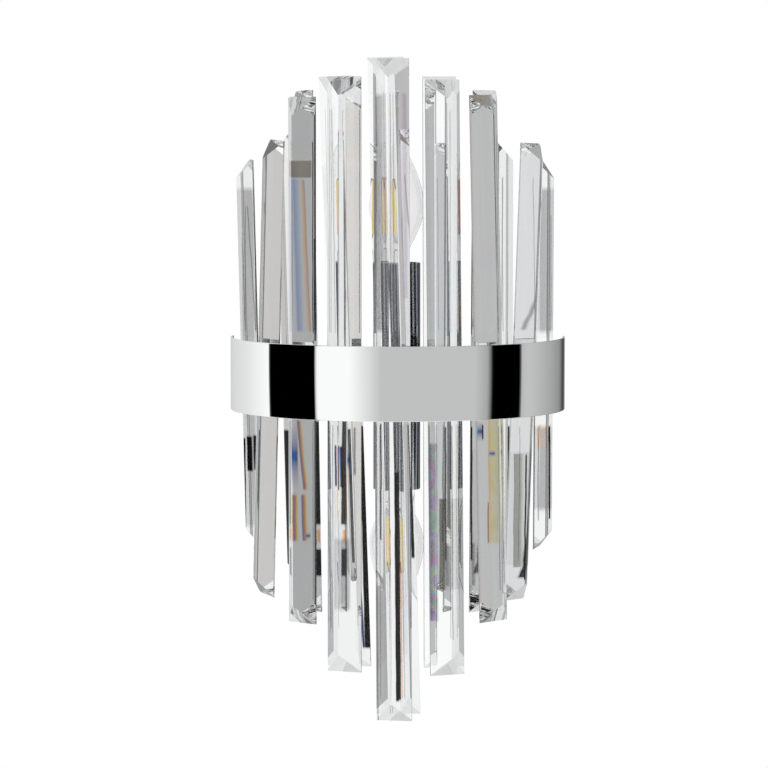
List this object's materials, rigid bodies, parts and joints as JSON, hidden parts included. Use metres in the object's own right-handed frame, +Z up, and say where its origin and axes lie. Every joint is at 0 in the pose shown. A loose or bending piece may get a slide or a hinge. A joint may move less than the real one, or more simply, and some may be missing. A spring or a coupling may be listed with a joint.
{
  "type": "wall sconce",
  "caption": "Half-round chrome wall sconce: a mirror band hides two rings of long clear cut-crystal prisms round an upward and a downward candle lamp.",
  "frame": {"origin": "centre of the two wall-screw slots, on the wall plane, level with the middle of the band", "axes": "+Z up, +Y into the wall, -Y towards the room, +X to the right of someone who faces the sconce"},
  "size_m": [0.215, 0.1162, 0.4133],
  "materials": {
    "crystal": "clear cut crystal, polished",
    "polished_chrome": "polished mirror chrome",
    "bulb_glass": "clear blown glass",
    "filament": "yellow phosphor coating",
    "lead_wire": "drawn wire",
    "cap_metal": "nickel-plated",
    "holder_plastic": "moulded black",
    "brass": "plain",
    "plated_brass": "plated",
    "nylon": "natural white",
    "lead_sheath": "insulation",
    "zinc_steel": "bright zinc plate",
    "housing_steel": "plated sheet steel"
  },
  "bodies": {
    "fixture": {"arm_nuts": "zinc_steel", "arm_pipe": "plated_brass", "back_housing": "housing_steel", "band_angles": "housing_steel", "band_screws": "zinc_steel", "bracket_studs": "zinc_steel", "cap_nuts": "zinc_steel", "centre_contacts": "brass", "earth_screw": "zinc_steel", "hub_nipples": "plated_brass", "inner_crystal_nuts": "zinc_steel", "inner_crystal_ring": "housing_steel", "inner_crystal_screws": "zinc_steel", "inner_crystal_spacers": "nylon", "lamp_hub": "plated_brass", "lamp_leads": "lead_sheath", "lampholder_lower": "holder_plastic", "lampholder_upper": "holder_plastic", "outer_band": "polished_chrome", "outer_crystal_nuts": "zinc_steel", "outer_crystal_ring": "housing_steel", "outer_crystal_screws": "zinc_steel", "outer_crystal_spacers": "nylon", "ring_screws": "zinc_steel", "screw_shells": "brass", "sleeve_lower": "polished_chrome", "sleeve_nuts": "zinc_steel", "sleeve_upper": "polished_chrome", "terminal_block": "nylon", "wall_bracket": "housing_steel"},
    "bulb_lower": {"bulb_lower_cap": "cap_metal", "bulb_lower_filaments": "filament", "bulb_lower_glass": "bulb_glass", "bulb_lower_stem": "bulb_glass", "bulb_lower_wires": "lead_wire"},
    "bulb_upper": {"bulb_upper_cap": "cap_metal", "bulb_upper_filaments": "filament", "bulb_upper_glass": "bulb_glass", "bulb_upper_stem": "bulb_glass", "bulb_upper_wires": "lead_wire"},
    "inner_prism_1": {"inner_prism_1": "crystal"},
    "inner_prism_2": {"inner_prism_2": "crystal"},
    "inner_prism_3": {"inner_prism_3": "crystal"},
    "inner_prism_4": {"inner_prism_4": "crystal"},
    "inner_prism_5": {"inner_prism_5": "crystal"},
    "inner_prism_6": {"inner_prism_6": "crystal"},
    "inner_prism_7": {"inner_prism_7": "crystal"},
    "outer_prism_1": {"outer_prism_1": "crystal"},
    "outer_prism_2": {"outer_prism_2": "crystal"},
    "outer_prism_3": {"outer_prism_3": "crystal"},
    "outer_prism_4": {"outer_prism_4": "crystal"},
    "outer_prism_5": {"outer_prism_5": "crystal"},
    "outer_prism_6": {"outer_prism_6": "crystal"},
    "outer_prism_7": {"outer_prism_7": "crystal"},
    "outer_prism_8": {"outer_prism_8": "crystal"},
    "outer_prism_9": {"outer_prism_9": "crystal"}
  },
  "joints": [
    {"name": "outer_prism_1_swing", "type": "hinge", "parent": "fixture", "child": "outer_prism_1", "pos_m": [-0.08956, -0.02643, 0], "axis": [-0.9845, -0.1736, -0.0244], "range_deg": [-2, 2]},
    {"name": "outer_prism_2_swing", "type": "hinge", "parent": "fixture", "child": "outer_prism_2", "pos_m": [-0.07834, -0.05559, 0], "axis": [-0.8986, -0.4387, 0.0087], "range_deg": [-2, 2]},
    {"name": "outer_prism_3_swing", "type": "hinge", "parent": "fixture", "child": "outer_prism_3", "pos_m": [-0.05795, -0.07925, 0], "axis": [-0.6361, -0.7716, 0], "range_deg": [-2, 1]},
    {"name": "outer_prism_4_swing", "type": "hinge", "parent": "fixture", "child": "outer_prism_4", "pos_m": [-0.03123, -0.09449, 0], "axis": [-0.3502, -0.9367, 0], "range_deg": [-2, 2]},
    {"name": "outer_prism_5_swing", "type": "hinge", "parent": "fixture", "child": "outer_prism_5", "pos_m": [-0.00128, -0.09999, 0], "axis": [-0.1822, -0.9833, 0], "range_deg": [-2, 2]},
    {"name": "outer_prism_6_swing", "type": "hinge", "parent": "fixture", "child": "outer_prism_6", "pos_m": [0.03078, -0.09466, 0], "axis": [0.3535, -0.9354, 0], "range_deg": [-2, 2]},
    {"name": "outer_prism_7_swing", "type": "hinge", "parent": "fixture", "child": "outer_prism_7", "pos_m": [0.05795, -0.07925, 0], "axis": [0.6625, -0.749, 0.0087], "range_deg": [-2, 2]},
    {"name": "outer_prism_8_swing", "type": "hinge", "parent": "fixture", "child": "outer_prism_8", "pos_m": [0.07891, -0.05463, 0], "axis": [0.8429, -0.5377, -0.0209], "range_deg": [-2, 2]},
    {"name": "outer_prism_9_swing", "type": "hinge", "parent": "fixture", "child": "outer_prism_9", "pos_m": [0.08956, -0.02643, 0], "axis": [0.9781, -0.2079, -0.0035], "range_deg": [-2, 2]},
    {"name": "inner_prism_1_swing", "type": "hinge", "parent": "fixture", "child": "inner_prism_1", "pos_m": [-0.06396, -0.01823, 0], "axis": [-0.9997, 0, -0.0262], "range_deg": [-2, 2]},
    {"name": "inner_prism_2_swing", "type": "hinge", "parent": "fixture", "child": "inner_prism_2", "pos_m": [-0.05486, -0.04896, 0], "axis": [-0.866, -0.5, 0], "range_deg": [-2, 2]},
    {"name": "inner_prism_3_swing", "type": "hinge", "parent": "fixture", "child": "inner_prism_3", "pos_m": [-0.03152, -0.0717, 0], "axis": [-0.4067, -0.9135, 0], "range_deg": [-2, 2]},
    {"name": "inner_prism_4_swing", "type": "hinge", "parent": "fixture", "child": "inner_prism_4", "pos_m": [-0.00101, -0.07999, 0], "axis": [-0.0436, -0.999, 0], "range_deg": [-2, 2]},
    {"name": "inner_prism_5_swing", "type": "hinge", "parent": "fixture", "child": "inner_prism_5", "pos_m": [0.02755, -0.07376, 0], "axis": [0.4147, -0.91, 0], "range_deg": [-1, 2]},
    {"name": "inner_prism_6_swing", "type": "hinge", "parent": "fixture", "child": "inner_prism_6", "pos_m": [0.05404, -0.05029, 0], "axis": [0.7771, -0.6293, 0], "range_deg": [-2, 2]},
    {"name": "inner_prism_7_swing", "type": "hinge", "parent": "fixture", "child": "inner_prism_7", "pos_m": [0.06396, -0.01823, 0], "axis": [1, 0, 0], "range_deg": [-2, 2]},
    {"name": "bulb_upper_out", "type": "slide", "parent": "fixture", "child": "bulb_upper", "axis": [0, 0, 1], "range_m": [0, 0.03]},
    {"name": "bulb_lower_out", "type": "slide", "parent": "fixture", "child": "bulb_lower", "axis": [0, 0, -1], "range_m": [0, 0.03]}
  ]
}
